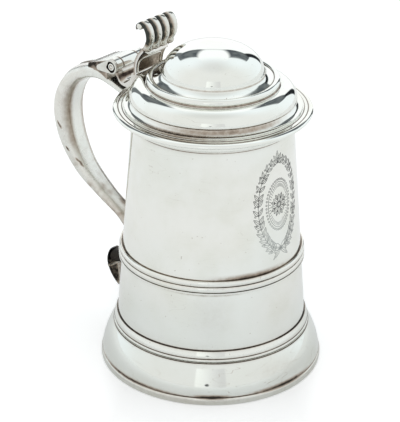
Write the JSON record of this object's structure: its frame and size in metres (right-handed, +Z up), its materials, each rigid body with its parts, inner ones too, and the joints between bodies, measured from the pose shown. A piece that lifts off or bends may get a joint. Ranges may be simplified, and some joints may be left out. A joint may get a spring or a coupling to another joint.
{
  "type": "lidded tankard",
  "caption": "Lidded silver tankard: tapering barrel on a spreading moulded foot, hollow scroll handle, stepped domed lid that opens on a hinge by its ribbed thumbpiece.",
  "frame": {"origin": "centre of the object's outline in plan, on the surface that it stands on", "axes": "+Z up along the barrel; the handle points towards -X and the plain front towards +X; the object is the same on both sides of the XZ plane"},
  "size_m": [0.1792, 0.1252, 0.1951],
  "materials": {
    "polished_silver": "old polished silver with fine scratches and warm tarnish in its grooves",
    "satin_silver": "silver worn to a warm satin by handling",
    "dark_silver": "cast silver with brown tarnish in its hollows"
  },
  "bodies": {
    "body": {"barrel": "polished_silver", "base_disc": "polished_silver", "foot_rim": "polished_silver", "foot_skirt": "polished_silver", "foot_collar": "polished_silver", "girdle_band": "polished_silver", "lip_moulding": "polished_silver", "handle_shell": "satin_silver", "handle_strap": "satin_silver", "handle_terminal": "dark_silver", "hinge_plate": "satin_silver", "hinge_drop": "satin_silver", "handle_knuckle_near": "dark_silver", "handle_knuckle_far": "dark_silver", "hinge_cheek_near": "satin_silver", "hinge_cheek_far": "satin_silver", "hinge_pin": "polished_silver"},
    "lid": {"lid_cover": "polished_silver", "lid_flange": "polished_silver", "lid_bezel": "polished_silver", "lid_bracket": "dark_silver", "lid_knuckle": "dark_silver", "thumbpiece": "dark_silver"}
  },
  "joints": [
    {"name": "lid_hinge", "type": "hinge", "parent": "body", "child": "lid", "pos_m": [-0.0366, 0, 0.1608], "axis": [0, -1, 0], "range_deg": [0, 130]}
  ]
}
